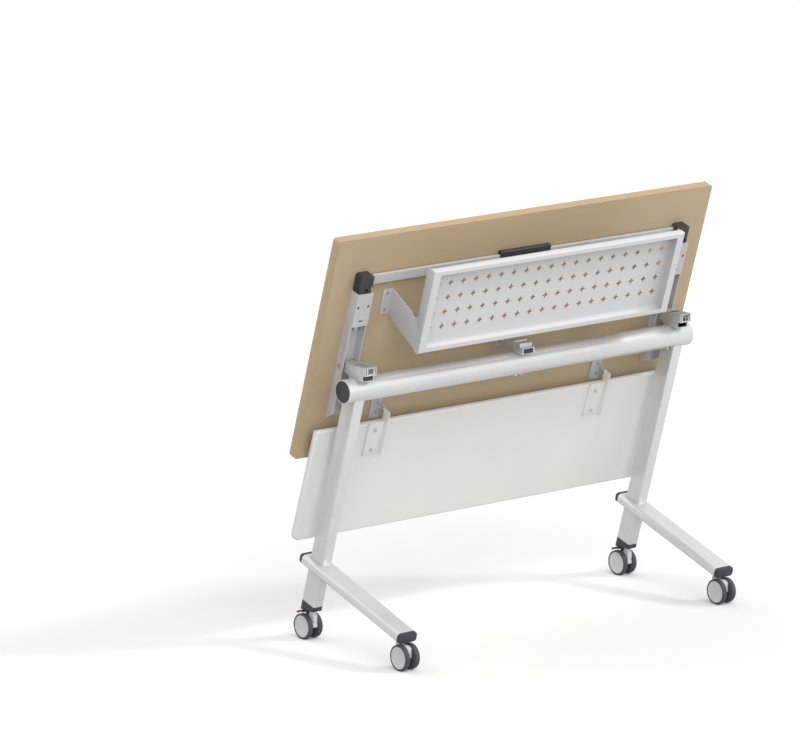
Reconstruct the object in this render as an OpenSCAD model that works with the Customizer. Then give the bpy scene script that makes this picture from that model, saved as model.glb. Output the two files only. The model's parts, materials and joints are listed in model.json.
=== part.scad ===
// Flip top training table, shown folded for nesting: the top stands on edge with its
// underside and hanging tray to the front. X runs from side to side, +Y to the rear, +Z up.
// The origin lies on the floor, midway between the two sides and the front and rear wheels.

/* [Table top] */
// Width of the top from side to side
top_w = 1200; // [1100:10:1600]
// Depth of the top, front to rear when it is down
top_d = 600; // [590:5:650]
// Thickness of the board
top_t = 25; // [18:1:32]
// Height of the top's surface when it is down
table_h = 758; // [735:1:780]
// Lean of the stored top from upright, in degrees
top_lean = 17.6; // [15:0.2:22]
// Thickness of the band round the board's edge
band_t = 2; // [1:0.5:3]
// Radius of the board's corners
corner_r = 7; // [4:1:20]

/* [Frame] */
// Distance of each column's middle from the side of the top
leg_inset = 85; // [80:1:100]
// Diameter of the cross beam
beam_d = 60; // [56:1:62]
// Wall of the cross beam
beam_wall = 2.5; // [1.5:0.5:4]
// How far the beam runs past the middle of each column
beam_overhang = 40; // [32:1:45]
// Lean of the columns, in degrees
leg_lean = 17; // [15:0.5:18]
// Slope of the feet, in degrees
foot_lean = 18; // [15:0.5:19]
// Width of a column, side to side
col_w = 30; // [26:1:34]
// Depth of a column, front to rear
col_d = 50; // [44:1:54]
// Wall of the columns and feet
tube_wall = 2; // [1.5:0.5:3]
// Outer radius of a column's corners
col_r = 4; // [3.5:0.5:6]
// Width of a foot's flat oval tube
foot_w = 56; // [52:1:64]
// Height of a foot's flat oval tube
foot_h = 26; // [24:1:30]
// Radius of the flat oval tube's corners
foot_r = 9; // [7:0.5:12]
// Reach of a foot from the column's axis to its front end
foot_front = 368; // [350:1:380]
// Reach of a foot from the column's axis to its rear end
foot_rear = 50.5; // [48:0.5:70]
// Length of the moulded cap that shows on each end of a foot
cap_len = 11; // [8:1:14]
// Length of the part of a cap that sits inside its tube
cap_plug = 6; // [4:1:7]

/* [Casters] */
// Diameter of the wheels
wheel_d = 65; // [60:1:66]
// Thickness of one wheel
wheel_t = 15.5; // [13:0.5:17]
// Gap between the two wheels of a caster
wheel_gap = 13; // [12:0.5:16]
// Trail, from the swivel axis to the axle
trail = 20; // [18:1:24]
// Height from the floor to the caster's seat
caster_h = 75; // [74:1:80]
// Diameter of the caster's stem
stem_d = 10; // [8:0.5:11]
// Length of the stem above the seat
stem_len = 20; // [16:1:21]
// Diameter of the axle
axle_d = 8; // [6:0.5:9]
// Distance of a front stem from the front end of its foot
stem_inset = 35; // [34:1:42]
// Diameter of the light disc on each wheel
disc_d = 56; // [48:1:57]

/* [Flip hinge] */
// Height of the flip pivot above the beam's axis
pivot_rise = 53.5; // [52.5:0.5:58]
// Distance of the pivot behind the beam's axis
pivot_back = 43; // [40:1:46]
// Distance of the pivot below the underside of the top
pivot_drop = 14.5; // [14.5:0.5:17]
// Diameter of the pivot pins
pin_d = 10; // [8:0.5:11]
// Width of the cast hinge brackets
bracket_w = 35; // [30:1:36]
// Height of a bracket's arm
arm_h = 22; // [20:1:22]
// Reach of a side bracket's arm in front of the beam's axis
arm_front = 52; // [46:1:60]
// Distance of the brackets' middle from the side of the top
bracket_inset = 92; // [90:1:102]

/* [Underside channels] */
// Width of a channel over its flanges
chan_w = 48; // [46:1:52]
// Depth of a channel from the underside to its rims
chan_d = 28; // [27:0.5:29]
// Gauge of the channels and the folded plates
sheet_t = 2; // [1.5:0.5:2.5]
// Length of a channel below the pivot
chan_low = 146; // [140:1:150]
// Gap between a channel's upper end and the release bar
chan_bar_gap = 12.5; // [12:0.5:16]
// Length of the cover over a channel's upper end
cover_len = 90; // [80:1:92]

/* [Release] */
// Height of the release bar's face
bar_h = 25; // [20:1:26]
// Thickness of the release bar
bar_t = 8; // [6:0.5:8]
// Height of the bar's middle above the pivot, up the top
bar_up = 229; // [227:1:231]
// Travel of the release bar
release_travel = 5; // [4:0.5:8]
// Width of the hand grip
grip_w = 160; // [120:5:240]
// Height of a corner housing above the bar at the end of its travel
housing_head = 4; // [3.5:0.5:10]
// Height of the neck under a corner housing
neck_h = 16; // [12:1:18]
// Distance of the neck's inner side from the housing's inner side
neck_in = 8; // [4:1:8]
// Depth of a corner housing
housing_d = 30; // [29:1:34]
// Diameter of a latch bolt
bolt_d = 10; // [8:0.5:11]

/* [Hanging tray] */
// Distance from each channel to the end of the tray
tray_side_gap = 84; // [60:1:120]
// Height of the tray, up the top
tray_h = 222; // [215:1:240]
// Distance of the tray's lower edge above the pivot
tray_low = 80; // [78:1:90]
// Distance of the tray's rim from the underside
tray_drop = 139; // [136:1:150]
// Depth of the tray's walls
tray_d = 25; // [18:1:28]
// Gauge of the tray
tray_t = 1.5; // [1:0.25:2]
// Width of the rim at the tray's two ends
rim_end = 20; // [16:1:26]
// Width of the rim along the tray's long edges
rim_long = 11; // [8:1:16]
// Distance between star holes
star_pitch = 40; // [36:1:48]
// Size of a star hole from tip to tip
star_size = 20; // [12:1:22]

/* [Modesty panel] */
// Distance of the modesty panel's ends from the sides of the top
mod_inset = 24; // [24:1:60]
// Height of the modesty panel
mod_h = 311; // [240:1:330]
// Gauge of the modesty panel
mod_t = 1.2; // [1:0.1:1.5]
// Depth of the folded edge round the modesty panel
mod_fold = 11; // [8:1:12]
// Radius of the modesty panel's lower corners
mod_r = 22; // [12:1:40]
// Distance of the modesty hinge below the pivot, down the top
mod_hinge_low = 143; // [140:1:150]
// Distance of the modesty hinge from the underside
mod_hinge_drop = 25; // [23:0.5:26]
// Distance of a modesty hinge from the end of the panel
mod_hinge_inset = 226; // [190:2:260]

/* [Hidden] */
$fn = 64;

// Clearances: a running fit on a shaft, a pressed fit, a seated piece and the cuts' overrun
run_fit = 0.05;
press_fit = 0.02;
seat_gap = 0.3;
over = 1;
weld_gap = 0.1;

// Beam and columns
beam_r = beam_d / 2;
beam_z = table_h - top_t - pivot_drop - pivot_rise;
col_x = top_w / 2 - leg_inset;
beam_half = col_x + beam_overhang;
bracket_x = top_w / 2 - bracket_inset;
lean_cos = cos(leg_lean);
lean_sin = sin(leg_lean);
beam_cap_rim = 0.8;
beam_cap_len = 14;
beam_cap_wall = 3;

// Feet: the front stem's seat sets how far down the columns they are welded
stem_reach = foot_front - stem_inset;
socket_seat = 3;
foot_cos = cos(foot_lean);
foot_rise = stem_reach * sin(foot_lean) + foot_h / 2 / foot_cos;
foot_drop = (beam_z - foot_rise - caster_h - socket_seat) / lean_cos;
foot_cap_round = 3;
foot_inner_r = foot_r - tube_wall;
plug_end = 12;
col_len = (beam_z - caster_h - plug_end - col_d / 2 * lean_sin) / lean_cos;
col_plug_len = 34;
socket_wall = 4.8;
socket_r = stem_d / 2 + socket_wall;
collar_rim = 2.2;
collar_r = socket_r + collar_rim;

// Stems and wheels, as places behind the beam's axis
front_stem = foot_drop * lean_sin - stem_reach * foot_cos;
rear_stem_lead = 5;
rear_stem = (beam_z - caster_h - stem_len / 2) * tan(leg_lean) - rear_stem_lead;
front_axle = front_stem - trail;
rear_axle = rear_stem + trail;
beam_y = -(front_axle + rear_axle) / 2;
wheel_r = wheel_d / 2;
wheel_in = wheel_gap / 2;
wheel_out = wheel_in + wheel_t;
wheel_wall = 2;
wheel_round = 2;
wheel_chamfer = 3;
disc_sink = 0.8;
fork_t = wheel_gap - 2 * seat_gap;
fork_hub_r = 13;
fork_guard_in = 3;
fork_guard_r = wheel_r - fork_guard_in;
fork_neck_r = 9;
fork_neck_gap = 0.8;
fork_neck_low = wheel_d + fork_neck_gap;

// Brake pedal over the rear wheels
pedal_gap = 4;
pedal_t = 4.5;
pedal_w = 40;
pedal_from = 58;
pedal_to = 98;
pedal_pin_r = 2;
pedal_ear_r = 3.5;
pedal_pin_lead = 5;
pedal_pin_drop = 6;
pedal_pin_y = trail - pedal_pin_lead;
pedal_pin_z = caster_h - pedal_pin_drop;
pedal_lug_t = 6;
pedal_ear_out = 10;

// Flip hinge
pivot_y = beam_y + pivot_back;
pivot_z = beam_z + pivot_rise;
pivot_hole_r = pin_d / 2 + run_fit;
head_rim = 1.2;
head_r = pin_d / 2 + head_rim;
head_t = 2;
pivot_head_t = 1;
block_front = 40;
block_low = 27;
block_top = 42.5;
block_step = 30;
saddle_rear = 11;
boss_r = arm_h / 2;
insert_side = 2.5;
insert_w = bracket_w - 2 * insert_side;
insert_h = 12;
insert_d = 8;
insert_lip = 0.5;
cell_wall = 2;
hook_front = 10;
cell_side = 3;
cell_d = 20;
mid_wall = 4;
mid_cell_w = bracket_w - 2 * (cell_wall + cell_side + mid_wall);
rail_w = 4;
pocket_d = 1;
rib_pitch = 8;
rib_t = 1.6;
pocket_floor = pivot_rise + arm_h / 2 - pocket_d;
rib_count = floor((arm_front - 2 * rail_w + hook_front) / rib_pitch);
hook_h = 16;
bolt_shank_r = 3;
bolt_head_r = 5;
bolt_head_t = 4;
bolt_cover = 6;
bolt_end = block_top - bolt_cover;
side_bolt_x = col_x - col_w / 2 - bolt_head_r - weld_gap * 5;
centre_bolt_x = 10;

// Board
band_r = corner_r;
core_r = corner_r - band_t;

// Channels, covers and screws, as places up the top from the pivot
chan_in = chan_w - 2 * sheet_t;
chan_cut = 22;
chan_lip = 6;
chan_high = bar_up - bar_h / 2 - chan_bar_gap;
cover_low = chan_high - cover_len;
cover_hole_r = 3.6;
cover_hole_x = 15.5;
cover_hole_up = cover_low + cover_len * 0.59;
cover_slot_w = 13;
cover_slot_h = 4;
cover_slot_in = 13;
cover_slot_up = cover_low + cover_slot_in;
screw_r = 2;
screw_len = 14;
screw_head_r = 4;
screw_head_t = 2;
screw_play = 0.5;
screw_hole_r = screw_r + screw_play;
screw_end = 18;
screw_pair = 24;
chan_screws = [
    -chan_low + screw_end, -chan_low + screw_end + screw_pair, cover_low + screw_end, chan_high - screw_end
];
centre_w = 44;
centre_low = 26;
centre_high = 32;
centre_arm_w = centre_w - 2 * sheet_t - 2 * seat_gap;
centre_screws_x = 12;
centre_flange = 18;
centre_screw_in = 9;
centre_screw_up = centre_high - centre_screw_in;

// Release bar, housings and bolts
bar_low = bar_up - bar_h / 2;
bar_high = bar_up + bar_h / 2;
bar_off = 3;
bar_wall = 1.2;
bar_reach = 12;
bar_end = bracket_x + bar_reach;
housing_low = chan_high + seat_gap;
housing_top = bar_high + release_travel + housing_head;
housing_body = housing_top - housing_low - neck_h;
neck_slot_w = 14;
neck_slot_h = 8;
housing_in = 4;
housing_w = chan_w - 2 * housing_in;
housing_wall = 2.5;
housing_r = 8;
grip_wall = 3;
grip_rise = 10;
grip_hold = 9;
grip_round = 4;
bolt_lift = 0.5;
bolt_off = pivot_drop + bolt_lift;
arm_tip = sqrt(pow(pivot_back + arm_front, 2) + pow(arm_h / 2, 2));
bolt_clear = 1.5;
bolt_low = arm_tip + bolt_clear;
tang_drop = 8;
bolt_high = bar_low - tang_drop;
tang_t = 6;
tang_w = 16;
guide_in = 42;
guide_low = bolt_low + guide_in;
guide_len = 14;
collar_t = 3;
spring_wall = 1.6;
collar_out = bolt_d / 2 + collar_t;
bolt_nose = 9;
spring_low = bolt_low + bolt_nose;
guide_wall = 4;
guide_r = bolt_d / 2 + guide_wall;

// Tray and its brackets
tray_w = 2 * (bracket_x - chan_w / 2 - tray_side_gap);
star_cols = floor((tray_w - star_pitch) / star_pitch);
star_rows = floor((tray_h - star_pitch) / star_pitch);
tray_top = tray_low + tray_h;
tray_back = tray_drop - tray_d;
star_waist = star_size * 0.22;
flange_w = 26;
flange_up = 42;
flange_low = tray_low + flange_up;
flange_len = 69;
flange_high = flange_low + flange_len;
bracket_t = 2;
wall_strip = 27;
notch_r = 12;

// Modesty panel, as places below its hinge
mod_tilt = 0.8;
mod_w = top_w - 2 * mod_inset;
mod_hinge_x = mod_w / 2 - mod_hinge_inset;
mod_skew = 14;
mod_places = [-mod_hinge_x - mod_skew, mod_hinge_x];
mod_flange_d = 17;
mod_flange_t = 2.5;
mod_gap = 25.6;
mod_front = 6.6;
mod_pin_r = 3;
mod_ear_r = 7;
mod_ear_t = 5;
mod_cheek_t = 3;
mod_plate_w = 29;
mod_plate_h = 62;
mod_arm_w = 50;
mod_arm_len = 90;
mod_arm_t = 2.5;
mod_rib = 4;
mod_screw_r = 2.5;
mod_screw_head = 4.5;
mod_screw_up = 22;
mod_screw_low = 78;
plate_screw_pair = 14;
mod_back = mod_front - mod_fold;

// Every screw that goes into the board, as [x, place up the top, thickness held down]
tray_screw_x = tray_w / 2 + flange_w / 2 + bracket_t / 2;
flange_screw_in = 12;
tray_screws = [flange_low + flange_screw_in, flange_high - flange_screw_in];
board_screws = concat(
    [for (s = [-1, 1], u = chan_screws) [s * bracket_x, u, sheet_t]],
    [for (k = [-1, 0, 1]) [k * centre_screws_x, centre_screw_up, sheet_t]],
    [for (s = [-1, 1], u = tray_screws) [s * tray_screw_x, u, bracket_t]],
    [for (x = mod_places, k = [-1, 1])
        [x - mod_plate_w / 4, -mod_hinge_low + k * plate_screw_pair, mod_cheek_t]]
);

// Frames of reference
module at_beam() translate([0, beam_y, beam_z]) children();
module along_leg() at_beam() rotate([leg_lean, 0, 0]) children();
// The foot's frame, where its axis crosses the column's
module along_foot()
    along_leg() translate([0, 0, -foot_drop]) rotate([foot_lean - leg_lean, 0, 0]) children();
module at_pivot() translate([0, pivot_y, pivot_z]) children();
// X across, Y up the stored top from the pivot, Z out of the underside
module on_top() at_pivot() rotate([90 + top_lean, 0, 0]) translate([0, 0, -pivot_drop]) children();
module on_modesty()
    on_top() translate([0, -mod_hinge_low, mod_hinge_drop]) rotate([mod_tilt, 0, 0]) children();
module mirror_x(side) mirror([side < 0 ? 1 : 0, 0, 0]) children();
module rod_x(r, x0, x1) translate([x0, 0, 0]) rotate([0, 90, 0]) cylinder(r = r, h = x1 - x0);

// A centred rectangle with round corners
module round_rect(w, h, r) {
    square([w - 2 * r, h], center = true);
    square([w, h - 2 * r], center = true);
    for (sx = [-1, 1], sy = [-1, 1])
        translate([sx * (w / 2 - r), sy * (h / 2 - r)]) circle(r = r);
}

// A tube's section
module tube_rect(w, h, r, wall) {
    difference() {
        round_rect(w, h, r);
        round_rect(w - 2 * wall, h - 2 * wall, r - wall);
    }
}

// Lays a flat shape drawn across X and Z along Y, from y0 to y1
module extrude_y(y0, y1) translate([0, y1, 0]) rotate([90, 0, 0]) linear_extrude(height = y1 - y0)
    children();

// Lays a flat shape drawn across Y and Z along X, centred on x = 0
module extrude_x(w) rotate([90, 0, 90]) translate([0, 0, -w / 2]) linear_extrude(height = w) children();

// Frame

module beam() {
    color("silver")
    at_beam() difference() {
        rod_x(beam_r, -beam_half, beam_half);
        rod_x(beam_r - beam_wall, -beam_half - over, beam_half + over);
        for (x = bolt_places()) translate([x, 0, -beam_r - over])
            cylinder(r = bolt_shank_r + press_fit, h = beam_d + 2 * over);
    }
}

module beam_end_caps() {
    color("#3c3c3e")
    at_beam() for (s = [-1, 1]) mirror_x(s) difference() {
        rod_x(beam_r - beam_wall - press_fit, beam_half - beam_cap_len, beam_half + beam_cap_rim);
        rod_x(
            beam_r - beam_wall - beam_cap_wall, beam_half - beam_cap_len - over, beam_half - beam_cap_wall
        );
    }
}

module column() {
    along_leg() difference() {
        translate([col_x, 0, -col_len]) linear_extrude(height = col_len)
            tube_rect(col_w, col_d, col_r, tube_wall);
        rod_x(beam_r + weld_gap, col_x - col_w, col_x + col_w);
    }
}
module left_column() color("silver") mirror_x(-1) column();
module right_column() color("silver") column();

module foot() {
    difference() {
        along_foot() translate([col_x, 0, 0]) extrude_y(-foot_front + cap_len, foot_rear - cap_len)
            tube_rect(foot_w, foot_h, foot_r, tube_wall);
        along_leg() translate([col_x, 0, -foot_drop - foot_h]) linear_extrude(height = 2 * foot_h)
            round_rect(col_w + 2 * weld_gap, col_d + 2 * weld_gap, col_r + weld_gap);
        at_front_stem() cylinder(r = socket_r + weld_gap, h = socket_height() + weld_gap);
    }
}
module left_foot() color("silver") mirror_x(-1) foot();
module right_foot() color("silver") foot();

// One end cap of a foot, from its outer end to its plug, pointing along +Y
module foot_cap() {
    extrude_y(-cap_len, -foot_cap_round) round_rect(foot_w, foot_h, foot_r);
    extrude_y(-foot_cap_round, 0)
        round_rect(foot_w - foot_cap_round, foot_h - foot_cap_round, foot_r - foot_cap_round / 2);
    extrude_y(-cap_len - cap_plug, -cap_len)
        round_rect(
            foot_w - 2 * tube_wall - 2 * press_fit, foot_h - 2 * tube_wall - 2 * press_fit, foot_inner_r
        );
}
module foot_front_caps()
    color("#3c3c3e") for (s = [-1, 1]) mirror_x(s)
        along_foot() translate([col_x, -foot_front, 0]) mirror([0, 1, 0]) foot_cap();
module foot_rear_caps()
    color("#3c3c3e") for (s = [-1, 1]) mirror_x(s)
        along_foot() translate([col_x, foot_rear, 0]) foot_cap();

// Plug in the foot of a column, cut level to seat the rear caster
module column_plugs() {
    color("#3c3c3e") for (s = [-1, 1]) mirror_x(s) difference() {
        union() {
            along_leg() translate([col_x, 0, -col_len]) linear_extrude(height = col_plug_len)
                round_rect(
                    col_w - 2 * tube_wall - 2 * press_fit,
                    col_d - 2 * tube_wall - 2 * press_fit,
                    col_r - tube_wall
                );
            intersection() {
                along_leg() translate([col_x, 0, -col_len - col_plug_len])
                    linear_extrude(height = col_plug_len) round_rect(col_w, col_d, col_r);
                translate([0, 0, caster_h]) linear_extrude(height = col_len)
                    square([top_w, top_d], center = true);
            }
        }
        at_rear_stem() cylinder(r = stem_d / 2 + run_fit, h = stem_len + over);
    }
}

// Sockets in the front of the feet for the front casters
module caster_sockets() {
    color("#3c3c3e") for (s = [-1, 1]) mirror_x(s) difference() {
        union() {
            at_front_stem() cylinder(r = socket_r, h = socket_height());
            difference() {
                at_front_stem() cylinder(r = collar_r, h = foot_h);
                along_foot() translate([col_x - foot_w, -foot_front - foot_w, -foot_h / 2])
                    cube([2 * foot_w, foot_front, foot_h * 4]);
            }
        }
        at_front_stem() translate([0, 0, -over]) cylinder(r = stem_d / 2 + run_fit, h = stem_len + 2 * over);
    }
}
module at_front_stem() translate([col_x, beam_y + front_stem, caster_h]) children();
module at_rear_stem() translate([col_x, beam_y + rear_stem, caster_h]) children();
function socket_height() =
    socket_seat + (foot_h - tube_wall) / foot_cos - socket_r * tan(foot_lean) - seat_gap;
function bolt_places() = [-side_bolt_x, -centre_bolt_x, centre_bolt_x, side_bolt_x];

// Hinge brackets

// Side profile of the block that sits on the beam, with its front nose and its curved back
module block_profile() {
    difference() {
        union() {
            translate([-block_front, block_low]) square([block_front, block_top - block_low]);
            polygon([
                [-block_step, block_low], [saddle_rear, block_low],
                [saddle_rear + boss_r / 2, block_top - boss_r / 2], [pivot_back, pivot_rise - boss_r],
                [pivot_back, pivot_rise], [-block_step, pivot_rise]
            ]);
        }
        circle(r = beam_r + weld_gap);
    }
}

module block_cuts(w) {
    translate([0, -block_front + insert_d / 2 - over / 2, (block_low + block_top) / 2])
        cube([w, insert_d + over, insert_h], center = true);
    translate([0, pivot_back, pivot_rise]) rod_x(pin_d / 2 + press_fit, -bracket_w, bracket_w);
}

module side_bracket() {
    at_beam() difference() {
        translate([bracket_x, 0, 0]) difference() {
            extrude_x(bracket_w) {
                block_profile();
                translate([-arm_front, pivot_rise - arm_h / 2]) square([arm_front + pivot_back, arm_h]);
                translate([pivot_back, pivot_rise]) circle(r = boss_r);
            }
            block_cuts(insert_w);
            // Three cells in the hollow end of the arm
            translate([0, -arm_front + cell_d / 2 - over / 2, pivot_rise]) {
                cube([mid_cell_w, cell_d + over, arm_h - 2 * mid_wall], center = true);
                for (s = [-1, 1]) translate([s * (bracket_w / 2 - cell_wall - cell_side / 2), 0, 0])
                    cube([cell_side, cell_d + over, arm_h - 2 * cell_wall], center = true);
            }
            // Ribbed recess along the arm's upper face
            for (k = [0:rib_count - 1])
                translate([rail_w - bracket_w / 2, rail_w - arm_front + k * rib_pitch, pocket_floor])
                    cube([bracket_w - 2 * rail_w, rib_pitch - rib_t, pocket_d + over]);
        }
        translate([side_bolt_x, 0, 0]) cylinder(r = bolt_shank_r + press_fit, h = bolt_end);
    }
}
module left_hinge_bracket() color("#b4b6b8") mirror_x(-1) side_bracket();
module right_hinge_bracket() color("#b4b6b8") side_bracket();

module centre_hinge_bracket() {
    color("#b4b6b8")
    at_beam() difference() {
        union() {
            extrude_x(centre_arm_w) {
                block_profile();
                translate([-hook_front, pivot_rise - boss_r]) square([hook_front + pivot_back, hook_h]);
                translate([pivot_back, pivot_rise]) circle(r = boss_r);
            }
        }
        block_cuts(insert_w);
        for (s = [-1, 1]) translate([s * centre_bolt_x, 0, 0])
            cylinder(r = bolt_shank_r + press_fit, h = bolt_end);
    }
}

// Bolts up through the beam into the brackets
module bracket_bolts() {
    color("#8c8e90")
    at_beam() for (x = bolt_places()) translate([x, 0, -beam_r - bolt_head_t]) difference() {
        union() {
            cylinder(r = bolt_head_r, h = bolt_head_t);
            cylinder(r = bolt_shank_r, h = beam_r + bolt_head_t + bolt_end - over);
        }
        translate([0, 0, -over]) cylinder(r = bolt_shank_r * 0.8, h = over + bolt_head_t * 0.6, $fn = 6);
    }
}

// Black mouldings in the noses of the three brackets
module clamp_inserts() {
    color("#2e2e30")
    at_beam() for (x = [-bracket_x, 0, bracket_x])
        translate([x, -block_front + insert_d / 2 - insert_lip, (block_low + block_top) / 2]) difference() {
            cube([insert_w - 2 * press_fit, insert_d, insert_h - 2 * press_fit], center = true);
            translate([0, -insert_d, 0])
                cube(
                    [insert_w - 4 * cell_wall, insert_d + cell_wall, insert_h - 2 * cell_wall], center = true
                );
        }
}

module pivot_pins() {
    color("#8c8e90")
    at_pivot() {
        for (s = [-1, 1]) translate([s * bracket_x, 0, 0]) headed_pin(chan_w / 2);
        headed_pin(centre_w / 2);
    }
}
module headed_pin(half) {
    rod_x(pin_d / 2, -half - seat_gap, half + seat_gap);
    rod_x(head_r, -half - seat_gap - pivot_head_t, -half - seat_gap);
    rod_x(head_r, half + seat_gap, half + seat_gap + pivot_head_t);
}

// Table top

module board_outline(inset, r) translate([0, pivot_back])
    round_rect(top_w - 2 * inset, top_d - 2 * inset, r);

module table_top() {
    color("#a3906f")
    on_top() difference() {
        translate([0, 0, -top_t]) linear_extrude(height = top_t) board_outline(band_t, core_r);
        for (p = board_screws) translate([p[0], p[1], p[2] - screw_len - over])
            cylinder(r = screw_r + press_fit, h = screw_len + 2 * over);
    }
}

module edge_band() {
    color("#e6dcc4")
    on_top() translate([0, 0, -top_t]) linear_extrude(height = top_t) difference() {
        board_outline(0, band_r);
        board_outline(band_t, core_r);
    }
}

module wood_screws() {
    color("#9a9c9e")
    on_top() for (p = board_screws) translate([p[0], p[1], p[2]]) difference() {
        union() {
            cylinder(r = screw_head_r, h = screw_head_t);
            translate([0, 0, -screw_len]) cylinder(r = screw_r, h = screw_len + over);
        }
        translate([0, 0, screw_head_t / 2]) {
            cube([screw_head_r, screw_r / 3, screw_head_t * 1.2], center = true);
            cube([screw_r / 3, screw_head_r, screw_head_t * 1.2], center = true);
        }
    }
}

// One channel: web on the underside, two flanges cut slantwise at their lower ends, a pivot hole
module channel() {
    difference() {
        union() {
            translate([-chan_w / 2, -chan_low, 0]) cube([chan_w, chan_low + chan_high, sheet_t]);
            for (s = [-1, 1]) translate([s * (chan_w - sheet_t) / 2, 0, 0])
                rotate([90, 0, 90]) translate([0, 0, -sheet_t / 2]) linear_extrude(height = sheet_t) {
                    polygon([
                        [-chan_low, 0], [-chan_low, chan_lip], [chan_cut - chan_low, chan_d],
                        [chan_high, chan_d], [chan_high, 0]
                    ]);
                }
        }
        translate([0, 0, pivot_drop]) rod_x(pivot_hole_r, -chan_w, chan_w);
        for (u = chan_screws) translate([0, u, -over]) cylinder(r = screw_hole_r, h = sheet_t + 2 * over);
    }
}
module left_channel() color("#c9cbcd") on_top() translate([-bracket_x, 0, 0]) channel();
module right_channel() color("#c9cbcd") on_top() translate([bracket_x, 0, 0]) channel();

module channel_covers() {
    color("#d2d4d6")
    on_top() for (s = [-1, 1]) mirror_x(s) translate([bracket_x, cover_low, chan_d]) difference() {
        translate([-chan_w / 2, 0, 0]) cube([chan_w, cover_len, sheet_t]);
        for (k = [-1, 1]) translate([k * cover_hole_x, cover_hole_up - cover_low, -over])
            cylinder(r = cover_hole_r, h = sheet_t + 2 * over);
        translate([-cover_slot_w / 2, cover_slot_up - cover_low, -over])
            cube([cover_slot_w, cover_slot_h, sheet_t + 2 * over]);
    }
}

// Small channel that carries the middle pivot
module centre_channel() {
    color("#c9cbcd")
    on_top() difference() {
        union() {
            translate([-centre_w / 2, -centre_low, 0]) cube([centre_w, centre_low + centre_high, sheet_t]);
            for (s = [-1, 1]) translate([s * (centre_w - sheet_t) / 2, 0, 0])
                rotate([90, 0, 90]) translate([0, 0, -sheet_t / 2]) linear_extrude(height = sheet_t) {
                    translate([-centre_flange / 2, 0]) square([centre_flange, pivot_drop]);
                    translate([0, pivot_drop]) circle(r = centre_flange / 2);
                }
        }
        translate([0, 0, pivot_drop]) rod_x(pivot_hole_r, -centre_w, centre_w);
        for (k = [-1, 0, 1]) translate([k * centre_screws_x, centre_screw_up, -over])
            cylinder(r = screw_hole_r, h = sheet_t + 2 * over);
    }
}

// Release

// Corner housing: a hollow moulding with a neck on its outer side, slotted for the bar
module housing_outline() {
    translate([0, housing_top - housing_body / 2]) round_rect(housing_w, housing_body, housing_r);
    translate([neck_in - housing_w / 2, housing_low]) square([housing_w - neck_in, neck_h + housing_r]);
}
module latch_housing() {
    cave_d = housing_d - housing_wall + over;
    on_top() translate([bracket_x, 0, 0]) difference() {
        intersection() {
            linear_extrude(height = housing_d) housing_outline();
            extrude_y(housing_low, housing_top) {
                translate([0, housing_d / 2]) round_rect(housing_w, housing_d, housing_r);
                translate([-housing_w / 2, 0]) square([housing_w, housing_d / 2]);
            }
        }
        translate([housing_wall - housing_w / 2, housing_low + neck_h + housing_wall, -over])
            cube([housing_w - 2 * housing_wall, housing_body - 2 * housing_wall, cave_d]);
        translate([neck_in + housing_wall - housing_w / 2, housing_low - over, -over])
            cube([housing_w - neck_in - 2 * housing_wall, neck_h + 2 * housing_wall + over, cave_d]);
        translate([-housing_w, bar_low - seat_gap, -over])
            cube([housing_w, bar_h + release_travel + 2 * seat_gap, bar_off + bar_t + seat_gap + over]);
        translate([(neck_in - neck_slot_w) / 2, housing_low + (neck_h - neck_slot_h) / 2, bar_off + bar_t])
            cube([neck_slot_w, neck_slot_h, housing_d]);
    }
}
module left_latch_housing() color("#3c3c3e") mirror_x(-1) latch_housing();
module right_latch_housing() color("#3c3c3e") latch_housing();

module bar_section() translate([bar_up, bar_off + bar_t / 2])
    tube_rect(bar_h, bar_t, bar_wall * 1.25, bar_wall);
module release_bar() color("#d6d8da") on_top() extrude_x(2 * bar_end) bar_section();

// Grip that hooks over the upper edge of the bar
module release_grip() {
    color("#2e2e30")
    on_top() extrude_x(grip_w) difference() {
        translate([bar_high + (grip_rise - grip_hold) / 2, bar_off + bar_t / 2])
            round_rect(grip_rise + grip_hold, bar_t + 2 * grip_wall - over, grip_round);
        translate([bar_high - grip_hold * 2, bar_off - press_fit])
            square([grip_hold * 2 + press_fit, bar_t + 2 * press_fit]);
    }
}

// Latch bolts inside the channels, joined to the ends of the bar
module latch_bolts() {
    color("#8c8e90")
    on_top() for (s = [-1, 1]) mirror_x(s) translate([bracket_x, 0, 0]) {
        translate([0, bolt_low, bolt_off]) rotate([-90, 0, 0]) {
            cylinder(r = bolt_d / 2, h = bolt_high - bolt_low + over);
            translate([0, 0, spring_low - bolt_low - collar_t]) cylinder(r = collar_out, h = collar_t);
        }
        translate([-tang_w / 2, bolt_high, bar_off + bar_t]) cube([tang_w, bar_high - bolt_high, tang_t]);
    }
}

module bolt_guides() {
    color("#3c3c3e")
    on_top() for (s = [-1, 1]) mirror_x(s) translate([bracket_x, guide_low, 0]) difference() {
        translate([-chan_in / 2 + seat_gap, 0, sheet_t])
            cube([chan_in - 2 * seat_gap, guide_len, bolt_off + guide_r - sheet_t]);
        translate([0, -over, bolt_off]) rotate([-90, 0, 0])
            cylinder(r = bolt_d / 2 + run_fit, h = guide_len + 2 * over);
    }
}

// Return springs on the bolts, as sleeves of the coils' size
module return_springs() {
    color("#8c8e90")
    on_top() for (s = [-1, 1]) mirror_x(s) translate([bracket_x, spring_low + seat_gap, bolt_off])
        rotate([-90, 0, 0]) difference() {
            cylinder(r = bolt_d / 2 + seat_gap + spring_wall, h = guide_low - spring_low - 2 * seat_gap);
            translate([0, 0, -over]) cylinder(r = bolt_d / 2 + seat_gap, h = guide_low);
        }
}

// Hanging tray

module star() {
    tip = star_size / 2;
    polygon([for (k = [0:7]) let (r = k % 2 == 0 ? tip : star_waist, a = 45 * k) [r * cos(a), r * sin(a)]]);
}

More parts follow.
